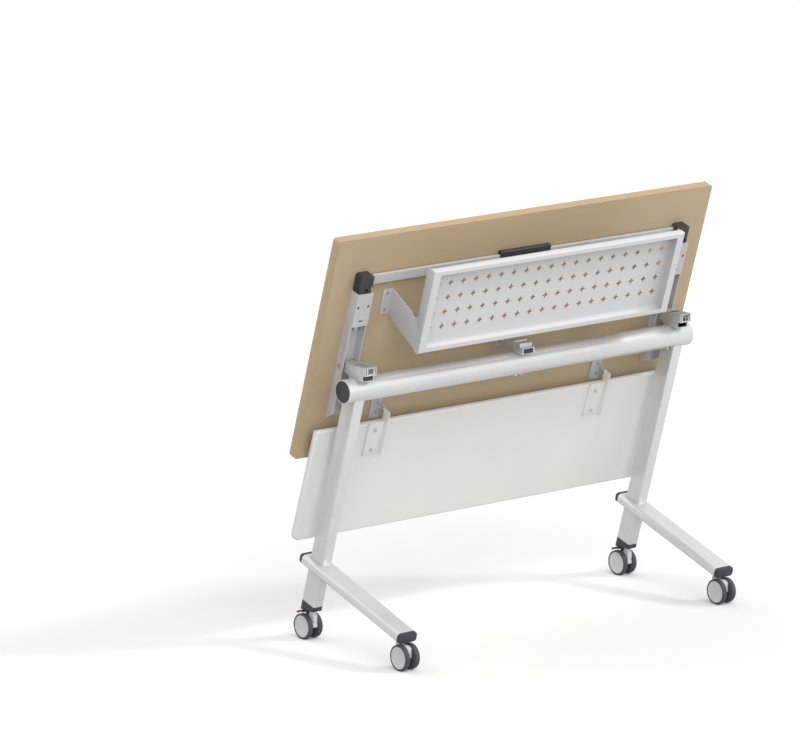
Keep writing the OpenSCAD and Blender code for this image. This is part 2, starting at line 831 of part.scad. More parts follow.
module shelf_tray() {
    color("#dfe1e3")
    on_top() translate([0, (tray_low + tray_top) / 2, tray_back]) {
        linear_extrude(height = tray_t) difference() {
            square([tray_w, tray_h], center = true);
            for (i = [0:star_cols - 1], j = [0:star_rows - 1])
                translate([(i - (star_cols - 1) / 2) * star_pitch, (j - (star_rows - 1) / 2) * star_pitch])
                    star();
        }
        linear_extrude(height = tray_d) difference() {
            square([tray_w, tray_h], center = true);
            square([tray_w - 2 * tray_t, tray_h - 2 * tray_t], center = true);
        }
        translate([0, 0, tray_d - tray_t]) linear_extrude(height = tray_t) difference() {
            square([tray_w, tray_h], center = true);
            square([tray_w - 2 * rim_end, tray_h - 2 * rim_long], center = true);
        }
    }
}

// Bracket at one end of the tray, as a V: a strip on the end wall and a leg to the board
module tray_bracket() {
    leg_foot = [bracket_t, flange_low];
    leg_knee = [tray_back - tray_d * 0.7, tray_low + tray_h * 0.045];
    notch = [tray_drop - wall_strip - notch_r * 0.9, tray_low + tray_h * 0.42];
    on_top() translate([tray_w / 2, 0, 0]) {
        rotate([90, 0, 90]) linear_extrude(height = bracket_t) rotate(90) mirror([0, 1]) difference() {
            polygon([
                [0, flange_low], leg_foot, leg_knee, [tray_drop, tray_low], [tray_drop, tray_top],
                [tray_drop - wall_strip, tray_top], [tray_drop - wall_strip, notch[1]],
                [notch[0] - notch_r, notch[1] - notch_r * 0.35], [bracket_t, flange_high], [0, flange_high]
            ]);
            translate(notch) circle(r = notch_r);
        }
        difference() {
            translate([0, flange_low, 0]) cube([flange_w + bracket_t, flange_len, bracket_t]);
            for (u = tray_screws) translate([tray_screw_x - tray_w / 2, u, -over])
                cylinder(r = screw_hole_r, h = bracket_t + 2 * over);
        }
    }
}
module left_tray_bracket() color("#b9bbbd") mirror_x(-1) tray_bracket();
module right_tray_bracket() color("#b9bbbd") tray_bracket();

// Modesty panel

// Hinge plates on the underside, each with one cheek that holds the pin
module modesty_hinge_plates() {
    color("#c9cbcd")
    on_top() for (x = mod_places) translate([x, -mod_hinge_low, 0]) difference() {
        union() {
            translate([-mod_plate_w, -mod_plate_h / 2, 0])
                cube([mod_plate_w + mod_cheek_t, mod_plate_h, mod_cheek_t]);
            rotate([90, 0, 90]) linear_extrude(height = mod_cheek_t) {
                translate([-mod_ear_r * 1.4, 0]) square([mod_ear_r * 2.8, mod_hinge_drop - mod_ear_r]);
                translate([-mod_ear_r, 0]) square([mod_ear_r * 2, mod_hinge_drop]);
                translate([0, mod_hinge_drop]) circle(r = mod_ear_r);
            }
        }
        translate([0, 0, mod_hinge_drop]) rod_x(mod_pin_r + press_fit, -mod_ear_t, 2 * mod_cheek_t);
        for (k = [-1, 1]) translate([-mod_plate_w / 4, k * plate_screw_pair, -over])
            cylinder(r = screw_hole_r, h = mod_cheek_t + 2 * over);
    }
}

module modesty_pins() {
    color("#8c8e90")
    on_modesty() for (x = mod_places) translate([x, 0, 0]) {
        rod_x(mod_pin_r, -mod_ear_t - 2 * seat_gap, mod_cheek_t + seat_gap);
        rod_x(mod_pin_r * 1.7, -mod_ear_t - 2 * seat_gap - head_t, -mod_ear_t - 2 * seat_gap);
        rod_x(mod_pin_r * 1.7, mod_cheek_t + seat_gap, mod_cheek_t + seat_gap + head_t);
    }
}

// Outline of the modesty panel, square above and rounded below, hanging from y = 0
module modesty_outline(inset) {
    w = mod_w - 2 * inset;
    h = mod_h - 2 * inset;
    r = mod_r - inset;
    translate([0, -inset]) {
        translate([-w / 2, -h + r]) square([w, h - r]);
        translate([-w / 2 + r, -h]) square([w - 2 * r, h]);
        for (s = [-1, 1]) translate([s * (w / 2 - r), -h + r]) circle(r = r);
    }
}

module modesty_panel() {
    color("#e4e4e0")
    on_modesty() translate([0, -mod_gap, mod_back]) difference() {
        linear_extrude(height = mod_fold) modesty_outline(0);
        translate([0, 0, -over]) linear_extrude(height = mod_fold - mod_t + over) modesty_outline(mod_t);
        for (x = mod_places, d = [mod_screw_up, mod_screw_low])
            translate([x - mod_arm_w / 2, -d, 0])
                cylinder(r = mod_screw_r + press_fit, h = mod_fold + over);
    }
}

// Arms from the hinge pins down the front of the modesty panel: a strip with a rib, and a flange
module modesty_arms() {
    top_z = mod_front + mod_flange_d;
    color("#c9cbcd")
    on_modesty() for (x = mod_places) translate([x, 0, 0]) difference() {
        union() {
            translate([-mod_arm_w, -mod_gap - mod_arm_len, mod_front])
                cube([mod_arm_w - seat_gap, mod_arm_len, mod_arm_t]);
            translate([-mod_arm_w, -mod_gap - mod_arm_len, mod_front])
                cube([mod_rib, mod_arm_len, mod_arm_t + mod_rib]);
            translate([-seat_gap - mod_flange_t, 0, 0]) rotate([90, 0, 90])
                linear_extrude(height = mod_flange_t) {
                    translate([-mod_gap - mod_arm_len, mod_front])
                        square([mod_arm_len + over, mod_flange_d]);
                    translate([-mod_gap, 0]) square([mod_gap, top_z]);
                    square([mod_ear_r, top_z - mod_ear_r]);
                    translate([0, top_z - mod_ear_r]) circle(r = mod_ear_r);
                }
            rod_x(mod_ear_r, -seat_gap - mod_ear_t, -seat_gap);
        }
        rod_x(mod_pin_r + run_fit, -mod_arm_w - over, over);
        translate([0, -mod_gap, 0]) for (d = [mod_screw_up, mod_screw_low])
            translate([-mod_arm_w / 2, -d, 0])
                cylinder(r = mod_screw_r + press_fit, h = mod_front * 3);
        // Room for the panel's folded upper edge under the ear
        translate([-mod_arm_w - over, -mod_gap - mod_arm_len - over, mod_back - over])
            cube([mod_arm_w + 2 * over, mod_arm_len + over, mod_fold + over]);
    }
}

module modesty_screws() {
    color("#9a9c9e")
    on_modesty() for (x = mod_places, d = [mod_screw_up, mod_screw_low])
        translate([x - mod_arm_w / 2, -mod_gap - d, mod_front + mod_arm_t]) {
            cylinder(r = mod_screw_head, h = head_t);
            translate([0, 0, -mod_arm_t - mod_t - over])
                cylinder(r = mod_screw_r, h = mod_arm_t + mod_t + 2 * over);
        }
}

// Casters

// Puts a caster at the corner given by its side and its end, wheels trailing outwards
module at_caster(side, end) {
    x = side * col_x;
    y = beam_y + (end < 0 ? front_stem : rear_stem);
    translate([x, y, 0]) mirror([0, end < 0 ? 1 : 0, 0]) children();
}

module caster_fork(braked) {
    difference() {
        union() {
            // Plate between the wheels, with a guard over their tops
            extrude_x(fork_t) {
                translate([trail, wheel_r]) circle(r = fork_hub_r);
                intersection() {
                    translate([trail, wheel_r]) circle(r = fork_guard_r);
                    translate([-fork_neck_r, wheel_r])
                        square([trail + fork_neck_r + fork_guard_r * 0.6, wheel_d]);
                }
                translate([-fork_neck_r, wheel_r + fork_hub_r])
                    square([2 * fork_neck_r, fork_neck_low - wheel_r - fork_hub_r]);
            }
            translate([0, 0, fork_neck_low])
                cylinder(r = fork_neck_r, h = caster_h - seat_gap - fork_neck_low);
            cylinder_stem();
            if (braked) extrude_x(pedal_lug_t) pedal_lug();
        }
        translate([0, trail, wheel_r]) rod_x(axle_d / 2 + press_fit, -fork_t, fork_t);
        if (braked) translate([0, pedal_pin_y, pedal_pin_z]) rod_x(pedal_pin_r + press_fit, -fork_t, fork_t);
    }
}
module cylinder_stem() translate([0, 0, fork_neck_low])
    cylinder(r = stem_d / 2, h = caster_h + stem_len - fork_neck_low);
module pedal_lug() {
    translate([0, pedal_pin_z - pedal_ear_r]) square([pedal_pin_y, 2 * pedal_ear_r]);
    translate([pedal_pin_y, pedal_pin_z]) circle(r = pedal_ear_r);
}
module pedal_pin() translate([0, pedal_pin_y, pedal_pin_z])
    rod_x(pedal_pin_r, -pedal_ear_out, pedal_ear_out);
module axle() translate([0, trail, wheel_r])
    rod_x(axle_d / 2, -wheel_out + wheel_wall + seat_gap, wheel_out - wheel_wall - seat_gap);

// One wheel, from its inner face to its disc, turned about X
module wheel() {
    translate([0, trail, wheel_r]) rotate([0, 90, 0]) rotate_extrude($fn = 96) polygon([
        [axle_d / 2 + run_fit, wheel_in], [wheel_r - wheel_chamfer, wheel_in],
        [wheel_r, wheel_in + wheel_chamfer],
        [wheel_r, wheel_out - wheel_round], [wheel_r - wheel_round, wheel_out], [disc_d / 2, wheel_out],
        [disc_d / 2 - disc_sink, wheel_out - disc_sink], [0, wheel_out - disc_sink],
        [0, wheel_out - wheel_wall], [axle_d / 2 + run_fit, wheel_out - wheel_wall]
    ]);
}

// Pedal that arches over both wheels, with two ears on the pin
module brake_pedal() {
    inner = wheel_r + pedal_gap;
    outer = inner + pedal_t;
    difference() {
        union() {
            extrude_x(pedal_w) intersection() {
                translate([trail, wheel_r]) difference() {
                    circle(r = outer);
                    circle(r = inner);
                }
                translate([trail, wheel_r]) polygon([
                    [0, 0], [2 * outer * cos(pedal_from), 2 * outer * sin(pedal_from)],
                    [0, 2 * outer], [2 * outer * cos(pedal_to), 2 * outer * sin(pedal_to)]
                ]);
            }
            extrude_x(2 * pedal_ear_out) translate([pedal_pin_y, pedal_pin_z]) circle(r = pedal_ear_r);
        }
        translate([0, pedal_pin_y, pedal_pin_z]) rod_x(pedal_pin_r + run_fit, -pedal_w, pedal_w);
        translate([-pedal_lug_t / 2 - seat_gap, pedal_pin_y - 2 * pedal_ear_r, wheel_r])
            cube([pedal_lug_t + 2 * seat_gap, 3.5 * pedal_ear_r, wheel_d]);
    }
}

module front_left_caster_fork() color("#c6c8ca") at_caster(-1, -1) caster_fork(false);
module front_right_caster_fork() color("#c6c8ca") at_caster(1, -1) caster_fork(false);
module rear_left_caster_fork() color("#c6c8ca") at_caster(-1, 1) caster_fork(true);
module rear_right_caster_fork() color("#c6c8ca") at_caster(1, 1) caster_fork(true);
module front_left_axle() color("#8c8e90") at_caster(-1, -1) axle();
module front_right_axle() color("#8c8e90") at_caster(1, -1) axle();
module rear_left_axle() color("#8c8e90") at_caster(-1, 1) axle();
module rear_right_axle() color("#8c8e90") at_caster(1, 1) axle();
module front_left_wheel_outer() color("#3c3c3e") at_caster(-1, -1) mirror_x(-1) wheel();
module front_left_wheel_inner() color("#3c3c3e") at_caster(-1, -1) wheel();
module front_right_wheel_outer() color("#3c3c3e") at_caster(1, -1) wheel();
module front_right_wheel_inner() color("#3c3c3e") at_caster(1, -1) mirror_x(-1) wheel();
module rear_left_wheel_outer() color("#3c3c3e") at_caster(-1, 1) mirror_x(-1) wheel();
module rear_left_wheel_inner() color("#3c3c3e") at_caster(-1, 1) wheel();
module rear_right_wheel_outer() color("#3c3c3e") at_caster(1, 1) wheel();
module rear_right_wheel_inner() color("#3c3c3e") at_caster(1, 1) mirror_x(-1) wheel();
module rear_left_brake_pedal() color("#3c3c3e") at_caster(-1, 1) brake_pedal();
module rear_right_brake_pedal() color("#3c3c3e") at_caster(1, 1) brake_pedal();
module rear_left_brake_pin() color("#8c8e90") at_caster(-1, 1) pedal_pin();
module rear_right_brake_pin() color("#8c8e90") at_caster(1, 1) pedal_pin();

beam();
beam_end_caps();
left_column();
right_column();
left_foot();
right_foot();
foot_front_caps();
foot_rear_caps();
column_plugs();
caster_sockets();
left_hinge_bracket();
right_hinge_bracket();
centre_hinge_bracket();
bracket_bolts();
clamp_inserts();
pivot_pins();
table_top();
edge_band();
left_channel();
right_channel();
channel_covers();
centre_channel();
wood_screws();
left_latch_housing();
right_latch_housing();
bolt_guides();
shelf_tray();
left_tray_bracket();
right_tray_bracket();
modesty_hinge_plates();
modesty_pins();
release_bar();
release_grip();
latch_bolts();
return_springs();
modesty_panel();
modesty_arms();
modesty_screws();
front_left_caster_fork();
front_left_axle();
front_left_wheel_outer();
front_left_wheel_inner();
front_right_caster_fork();
front_right_axle();
front_right_wheel_outer();
front_right_wheel_inner();
rear_left_caster_fork();
rear_left_axle();
rear_left_wheel_outer();
rear_left_wheel_inner();
rear_right_caster_fork();
rear_right_axle();
rear_right_wheel_outer();
rear_right_wheel_inner();
rear_left_brake_pedal();
rear_right_brake_pedal();
rear_left_brake_pin();
rear_right_brake_pin();
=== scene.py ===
"""Flip top training table, stored with its top on edge: finishes and fine shapes around the frame.

Places are in metres in the frame's axes: X across, Y to the rear, Z up.
"""

import json
import math
from contextlib import contextmanager

import bmesh
import bpy
from mathutils import Matrix, Vector


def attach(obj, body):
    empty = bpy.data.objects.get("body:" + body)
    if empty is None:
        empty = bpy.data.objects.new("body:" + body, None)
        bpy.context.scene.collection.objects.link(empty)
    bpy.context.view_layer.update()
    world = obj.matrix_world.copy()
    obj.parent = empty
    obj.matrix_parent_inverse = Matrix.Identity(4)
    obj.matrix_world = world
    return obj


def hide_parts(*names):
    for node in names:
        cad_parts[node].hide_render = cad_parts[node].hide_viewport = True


bl_info = {
    "name": "Flip top training table",
    "version": (1, 0, 0),
    "blender": (4, 5, 0),
    "location": "View3D > Sidebar > Training table",
    "description": "Builds the visible pieces of a nesting training table around its CAD frame",
    "category": "Add Mesh",
}

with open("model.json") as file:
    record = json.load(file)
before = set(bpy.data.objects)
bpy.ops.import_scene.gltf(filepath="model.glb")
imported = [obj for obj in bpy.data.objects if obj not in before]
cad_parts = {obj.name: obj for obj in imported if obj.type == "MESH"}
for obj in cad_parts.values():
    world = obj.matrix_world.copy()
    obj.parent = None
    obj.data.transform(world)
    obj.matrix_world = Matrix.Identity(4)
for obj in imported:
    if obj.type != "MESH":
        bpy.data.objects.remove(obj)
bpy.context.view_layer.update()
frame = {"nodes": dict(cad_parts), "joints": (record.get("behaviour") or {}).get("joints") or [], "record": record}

MM = 0.001
JOINTS = {joint["name"]: joint for joint in frame["joints"]}
PIVOT = Vector(JOINTS["top_flip"]["pos_m"])
UP_TOP = Vector(JOINTS["release_slide"]["axis"])
OUT_TOP = Vector((0, -UP_TOP.z, UP_TOP.y))
PIVOT_DROP = 14.5 * MM
ARM_HEIGHT = 22 * MM
POCKET_DEPTH = 1 * MM
POCKET_FLOOR = PIVOT.z + ARM_HEIGHT / 2 - POCKET_DEPTH
SIDES = ("left", "right")
ENDS = ("front", "rear")


def top_place():
    """The stored top's own axes: X across, Y up the top from the flip pivot, Z out of the underside."""
    corner = PIVOT - OUT_TOP * PIVOT_DROP
    return Matrix(
        (
            (1, 0, 0, corner.x),
            (0, UP_TOP.y, OUT_TOP.y, corner.y),
            (0, UP_TOP.z, OUT_TOP.z, corner.z),
            (0, 0, 0, 1),
        )
    )


MERGE = 0.002 * MM
CLOSE = 10 * MERGE
FLAT = math.radians(0.4)
CREASE = math.radians(34)

# Radii of the rounded edges
AS_CUT = 0
PIN_EDGE = 0.2 * MM
SCREW_EDGE = 0.25 * MM
SMALL_EDGE = 0.3 * MM
SHEET_EDGE = 0.4 * MM
TUBE_EDGE = 0.5 * MM
FORK_EDGE = 0.6 * MM
CAST_EDGE = 0.7 * MM
CAP_EDGE = 1.0 * MM
BAND_EDGE = 1.2 * MM
GRIP_EDGE = 1.2 * MM
HOUSING_EDGE = 1.5 * MM


# Selecting and shaping


def only(piece):
    """Selects this piece alone and makes it the active one."""
    bpy.ops.object.select_all(action="DESELECT")
    piece.select_set(True)
    bpy.context.view_layer.objects.active = piece


@contextmanager
def shaping(piece, mode="VERT"):
    """Edit mode on one piece, with nothing selected to begin with."""
    only(piece)
    bpy.ops.object.mode_set(mode="EDIT")
    bpy.ops.mesh.select_mode(type=mode)
    bpy.ops.mesh.select_all(action="DESELECT")
    yield
    bpy.ops.object.mode_set(mode="OBJECT")


def pick(piece, test):
    """Selects the vertices that pass the test, with the edges and faces between them."""
    mesh = bmesh.from_edit_mesh(piece.data)
    for vert in mesh.verts:
        vert.select_set(False)
    for vert in mesh.verts:
        if test(vert.co):
            vert.select_set(True)
    mesh.select_flush(True)
    bmesh.update_edit_mesh(piece.data)


def put_selected(piece, place):
    """Moves each selected vertex to place(its own place)."""
    mesh = bmesh.from_edit_mesh(piece.data)
    for vert in mesh.verts:
        if vert.select:
            vert.co = place(vert.co)
    bmesh.update_edit_mesh(piece.data)


def apply_modifier(piece, kind, **settings):
    """Adds one modifier and applies it."""
    only(piece)
    modifier = piece.modifiers.new(kind.title(), kind)
    for key, value in settings.items():
        setattr(modifier, key, value)
    bpy.ops.object.modifier_apply(modifier=modifier.name)


def settle(piece, place=Matrix.Identity(4)):
    """Puts the piece in its place, held in its mesh, with its object at the origin."""
    only(piece)
    piece.matrix_world = place @ piece.matrix_world
    bpy.ops.object.transform_apply(location=True, rotation=True, scale=True)


def outward(piece):
    """Turns every face outwards."""
    with shaping(piece):
        bpy.ops.mesh.select_all(action="SELECT")
        bpy.ops.mesh.remove_doubles(threshold=MERGE)
        bpy.ops.mesh.normals_make_consistent(inside=False)


def smooth(piece, degrees=32):
    """Smooth shading except across sharp edges."""
    only(piece)
    bpy.ops.object.shade_smooth_by_angle(angle=math.radians(degrees))


def hand_over(piece, name, slot, node):
    """Names a finished piece, dresses it and ties it to the CAD node that it stands for."""
    piece.name = name
    piece.data.name = name
    piece.data.materials.clear()
    piece.data.materials.append(finish_named(slot))
    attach(piece, body_of_node(node))
    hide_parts(node)


def body_of_node(node):
    """The body that a CAD node belongs to."""
    for body, members in frame["record"]["behaviour"]["bodies"].items():
        if node in members:
            return body
    raise RuntimeError(f"no body holds {node}")


def eased(node, name, edge, segments=2):
    """A merged copy of a CAD node whose sharp edges are rounded to the radius edge."""
    source = frame["nodes"][node]
    piece = source.copy()
    piece.data = source.data.copy()
    for key in list(piece.keys()):
        del piece[key]
    piece.parent = None
    piece.name = name
    bpy.context.scene.collection.objects.link(piece)
    piece.hide_render = False
    piece.hide_viewport = False
    only(piece)
    if piece.data.has_custom_normals:
        bpy.ops.mesh.customdata_custom_splitnormals_clear()
    with shaping(piece):
        bpy.ops.mesh.select_all(action="SELECT")
        bpy.ops.mesh.remove_doubles(threshold=MERGE)
        bpy.ops.mesh.dissolve_limited(angle_limit=FLAT)
    if edge:
        apply_modifier(
            piece, "BEVEL", width=edge, segments=segments, limit_method="ANGLE", angle_limit=CREASE,
            use_clamp_overlap=True, miter_outer="MITER_ARC",
        )
    smooth(piece)
    return piece


# Finishes


class Finish:
    """Builds one procedural material node by node."""

    def __init__(self, name, colour, roughness, metallic=0.0):
        self.material = bpy.data.materials.new(name)
        self.material.use_nodes = True
        self.tree = self.material.node_tree
        self.shader = self.tree.nodes["Principled BSDF"]
        self.shader.inputs["Base Color"].default_value = (*colour, 1)
        self.shader.inputs["Roughness"].default_value = roughness
        self.shader.inputs["Metallic"].default_value = metallic
        self.place = self.tree.nodes.new("ShaderNodeTexCoord").outputs["Object"]

    def link(self, out, socket):
        """Joins an output to an input."""
        self.tree.links.new(out, socket)

    def stretched(self, scale):
        """Object places scaled along each axis."""
        mapping = self.tree.nodes.new("ShaderNodeMapping")
        mapping.inputs["Scale"].default_value = scale
        self.link(self.place, mapping.inputs["Vector"])
        return mapping.outputs["Vector"]

    def noise(self, scale, detail=3.0, rough=0.5, vector=None):
        """Cloudy noise, from 0 to 1."""
        node = self.tree.nodes.new("ShaderNodeTexNoise")
        node.inputs["Scale"].default_value = scale
        node.inputs["Detail"].default_value = detail
        node.inputs["Roughness"].default_value = rough
        self.link(vector or self.place, node.inputs["Vector"])
        return node.outputs["Fac"]

    def ramp(self, value, stops):
        """A colour ramp of (position, colour) stops."""
        node = self.tree.nodes.new("ShaderNodeValToRGB")
        elements = node.color_ramp.elements
        while len(elements) < len(stops):
            elements.new(0.5)
        for element, (position, colour) in zip(elements, stops):
            element.position = position
            element.color = (*colour, 1)
        self.link(value, node.inputs["Fac"])
        return node.outputs["Color"]

    def mix(self, factor, one, two):
        """Mixes two colours by a factor."""
        node = self.tree.nodes.new("ShaderNodeMix")
        node.data_type = "RGBA"
        if isinstance(factor, float):
            node.inputs[0].default_value = factor
        else:
            self.link(factor, node.inputs[0])
        self.link(one, node.inputs[6])
        self.link(two, node.inputs[7])
        return node.outputs[2]

    def at_height(self, height, reach):
        """1 where the piece lies within reach of this height at rest, else 0."""
        split = self.tree.nodes.new("ShaderNodeSeparateXYZ")
        self.link(self.place, split.inputs[0])
        near = self.tree.nodes.new("ShaderNodeMath")
        near.operation = "COMPARE"
        near.inputs[1].default_value = height
        near.inputs[2].default_value = reach
        self.link(split.outputs["Z"], near.inputs[0])
        return near.outputs["Value"]

    def colour(self, out):
        """Gives the piece this base colour."""
        self.link(out, self.shader.inputs["Base Color"])

    def vary(self, socket, value, low, high):
        """Lets one of the shader's numbers wander between low and high."""
        node = self.tree.nodes.new("ShaderNodeMapRange")
        node.inputs["To Min"].default_value = low
        node.inputs["To Max"].default_value = high
        self.link(value, node.inputs["Value"])
        self.link(node.outputs["Result"], self.shader.inputs[socket])

    def roughness(self, value, low, high):
        """Lets the roughness wander between low and high."""
        self.vary("Roughness", value, low, high)

    def bump(self, value, depth, strength=1.0):
        """Small relief of this depth in metres."""
        node = self.tree.nodes.new("ShaderNodeBump")
        node.inputs["Strength"].default_value = strength
        node.inputs["Distance"].default_value = depth
        self.link(value, node.inputs["Height"])
        self.link(node.outputs["Normal"], self.shader.inputs["Normal"])


def shade(colour, factor):
    """A darker or lighter version of a colour."""
    return tuple(min(1.0, channel * factor) for channel in colour)


def powder_coat(name, colour, roughness, metallic=0.0):
    """Fine silver powder coat: orange-peel relief, tiny flecks and a slightly uneven gloss."""
    finish = Finish(name, colour, roughness, metallic)
    fleck = finish.noise(2600, 1.0)
    cloud = finish.noise(9, 2.0)
    flecked = finish.ramp(fleck, [(0.36, shade(colour, 0.93)), (0.64, shade(colour, 1.05))])
    clouded = finish.ramp(cloud, [(0.3, shade(colour, 0.975)), (0.7, shade(colour, 1.02))])
    finish.colour(finish.mix(0.5, flecked, clouded))
    finish.roughness(finish.noise(700, 2.0), roughness - 0.05, roughness + 0.07)
    finish.bump(finish.noise(950, 2.0), 0.05 * MM, 0.25)
    return finish.material


def laminate(name, colour, gloss=0.45):
    """Light wood-grain laminate: fine streaks across the table's width and a soft mottle."""
    finish = Finish(name, colour, gloss)
    streaks = finish.noise(1.0, 8.0, 0.62, finish.stretched((5, 210, 210)))
    bands = finish.noise(1.0, 4.0, 0.5, finish.stretched((1.6, 26, 26)))
    mottle = finish.noise(7, 3.0, 0.55)
    grain = finish.ramp(streaks, [(0.30, shade(colour, 0.90)), (0.70, shade(colour, 1.07))])
    figure = finish.ramp(bands, [(0.35, shade(colour, 0.95)), (0.65, shade(colour, 1.04))])
    patches = finish.ramp(mottle, [(0.35, shade(colour, 0.96)), (0.66, shade(colour, 1.03))])
    finish.colour(finish.mix(0.4, finish.mix(0.5, grain, figure), patches))
    finish.roughness(streaks, gloss - 0.04, gloss + 0.10)
    finish.bump(streaks, 0.06 * MM, 0.4)
    return finish.material


def edge_plastic(name, colour):
    """Pale plastic edge band with faint lengthwise lines and a satin skin."""
    finish = Finish(name, colour, 0.38)
    lines = finish.noise(1.0, 6.0, 0.6, finish.stretched((7, 240, 60)))
    finish.colour(finish.ramp(lines, [(0.32, shade(colour, 0.92)), (0.68, shade(colour, 1.05))]))
    finish.roughness(finish.noise(420, 2.0), 0.34, 0.46)
    finish.bump(finish.noise(1600, 2.0), 0.03 * MM, 0.3)
    return finish.material


def cast_metal(name, colour):
    """Die-cast alloy under satin lacquer: soft pits and patches, and painted shade on the floors of the arms'
    pockets, where the colour turns dark and the metallic and specular levels drop to zero.
    """
    finish = Finish(name, colour, 0.46)
    floor_reach = 0.4 * MM
    patches = finish.noise(65, 4.0, 0.6)
    # Mask of the arms' pocket floors, where painted shade goes: dark colour, no metallic and no specular.
    pocket_shade_mask = finish.at_height(POCKET_FLOOR, floor_reach)
    finish.vary("Metallic", pocket_shade_mask, 0.55, 0)
    finish.vary("Specular IOR Level", pocket_shade_mask, 0.5, 0)
    lacquered = finish.ramp(patches, [(0.3, shade(colour, 0.90)), (0.7, shade(colour, 1.05))])
    # Painted shade for the pocket floors: the alloy's colour at about a quarter of its brightness.
    painted_pocket_shade = finish.ramp(patches, [(0.3, shade(colour, 0.22)), (0.7, shade(colour, 0.34))])
    finish.colour(finish.mix(pocket_shade_mask, lacquered, painted_pocket_shade))
    finish.roughness(patches, 0.38, 0.56)
    finish.bump(finish.noise(620, 4.0, 0.6), 0.10 * MM, 0.45)
    return finish.material


def moulded(name, colour, roughness=0.55, grain=1700, depth=0.06):
    """Moulded plastic with a fine spark texture."""
    finish = Finish(name, colour, roughness)
    texture = finish.noise(grain, 3.0, 0.6)
    cloud = finish.noise(30, 2.0)
    finish.colour(finish.ramp(cloud, [(0.3, shade(colour, 0.93)), (0.7, shade(colour, 1.06))]))
    finish.roughness(texture, roughness - 0.06, roughness + 0.10)
    finish.bump(texture, depth * MM, 0.5)
    return finish.material


def plated_steel(name, colour):
    """Zinc plate: bright, finely brushed and a little cloudy."""
    finish = Finish(name, colour, 0.34, 0.7)
    brushed = finish.noise(1.0, 4.0, 0.6, finish.stretched((180, 1500, 1500)))
    cloud = finish.noise(120, 3.0)
    finish.colour(finish.ramp(cloud, [(0.3, shade(colour, 0.86)), (0.7, shade(colour, 1.06))]))
    finish.roughness(brushed, 0.26, 0.46)
    finish.bump(brushed, 0.02 * MM, 0.3)
    return finish.material


def rubber(name, colour):
    """Soft dark tread, matt, with faint dust."""
    finish = Finish(name, colour, 0.72)
    dust = finish.noise(90, 5.0, 0.65)
    finish.colour(finish.ramp(dust, [(0.35, shade(colour, 0.85)), (0.72, shade(colour, 1.35))]))
    finish.roughness(dust, 0.62, 0.82)
    finish.bump(finish.noise(1400, 3.0), 0.07 * MM, 0.5)
    return finish.material


def colour_property(name, description, default):
    """A colour that a user can change."""
    return bpy.props.FloatVectorProperty(
        name=name, description=description, subtype="COLOR", size=3, min=0.0, max=1.0, default=default
    )


def length_property(name, description, default):
    """A length that a user can change."""
    return bpy.props.FloatProperty(name=name, description=description, unit="LENGTH", default=default)


class TableFinishes(bpy.types.PropertyGroup):
    """Colours of the table's finishes."""

    board: colour_property("Board", "Wood-grain laminate", (0.470, 0.362, 0.228))
    band: colour_property("Edge band", "Plastic band round the board", (0.470, 0.345, 0.195))
    silver: colour_property("Frame", "Powder coat of the tubes", (0.640, 0.644, 0.648))
    pressed: colour_property("Pressed steel", "Powder coat of the folded parts", (0.505, 0.510, 0.515))
    tray: colour_property("Tray", "Powder coat of the hanging tray", (0.640, 0.643, 0.647))
    panel: colour_property("Modesty panel", "Off-white coat of the panel", (0.760, 0.760, 0.740))
    cast: colour_property("Casting", "Die-cast hinge brackets", (0.560, 0.570, 0.580))
    black: colour_property("Black plastic", "Caps, housings and grip", (0.030, 0.031, 0.034))
    zinc: colour_property("Zinc", "Pins, bolts and screws", (0.500, 0.510, 0.520))
    nylon: colour_property("Light nylon", "Caster forks and wheel discs", (0.600, 0.605, 0.610))
    tread: colour_property("Tread", "Soft tread of the wheels", (0.050, 0.051, 0.055))


class TraySizes(bpy.types.PropertyGroup):
    """Sizes of the hanging tray, in metres."""

    width: length_property("Width", "Across the table", 800 * MM)
    height: length_property("Height", "Up the stored top", 222 * MM)
    low: length_property("Lower edge", "Above the flip pivot", 80 * MM)
    back: length_property("Back", "From the underside to the tray's sheet", 114 * MM)
    depth: length_property("Depth", "Depth of the walls", 25 * MM)
    gauge: length_property("Gauge", "Sheet thickness", 1.5 * MM)
    bend: length_property("Bend", "Radius of the long bends", 13 * MM)
    fold: length_property("Fold", "Radius of the rims' outer fold", 2 * MM)
    rim_end: length_property("End rim", "Width at the ends", 20 * MM)
    rim_long: length_property("Long rim", "Width along the tray", 11 * MM)
    star: length_property("Star", "Tip to tip", 20 * MM)
    pitch: length_property("Pitch", "Between stars", 40 * MM)
    columns: bpy.props.IntProperty(name="Columns", description="Stars in a row", default=19)
    rows: bpy.props.IntProperty(name="Rows", description="Rows of stars", default=4)


class PanelSizes(bpy.types.PropertyGroup):
    """Sizes of the modesty panel, in metres."""

    width: length_property("Width", "Side to side", 1152 * MM)
    height: length_property("Height", "Top to bottom", 311 * MM)
    gauge: length_property("Gauge", "Sheet thickness", 1.2 * MM)
    fold: length_property("Fold", "Depth of the edge", 11 * MM)
    roll: length_property("Roll", "Radius of the rolled edge", 5 * MM)
    corner: length_property("Corner", "Radius of the lower corners", 22 * MM)
    gap: length_property("Gap", "From the hinge down to the panel", 25.6 * MM)
    front: length_property("Front", "From the hinge out to the face", 6.6 * MM)


class WheelSizes(bpy.types.PropertyGroup):
    """Sizes of a caster's wheels, in metres."""

    radius: length_property("Radius", "Radius of the tread", 32.5 * MM)
    inner: length_property("Inner face", "From the caster's middle", 6.5 * MM)
    outer: length_property("Outer face", "From the caster's middle", 22 * MM)
    disc: length_property("Disc", "Radius of the disc", 28 * MM)
    bore: length_property("Bore", "Radius of the bore", 4.1 * MM)


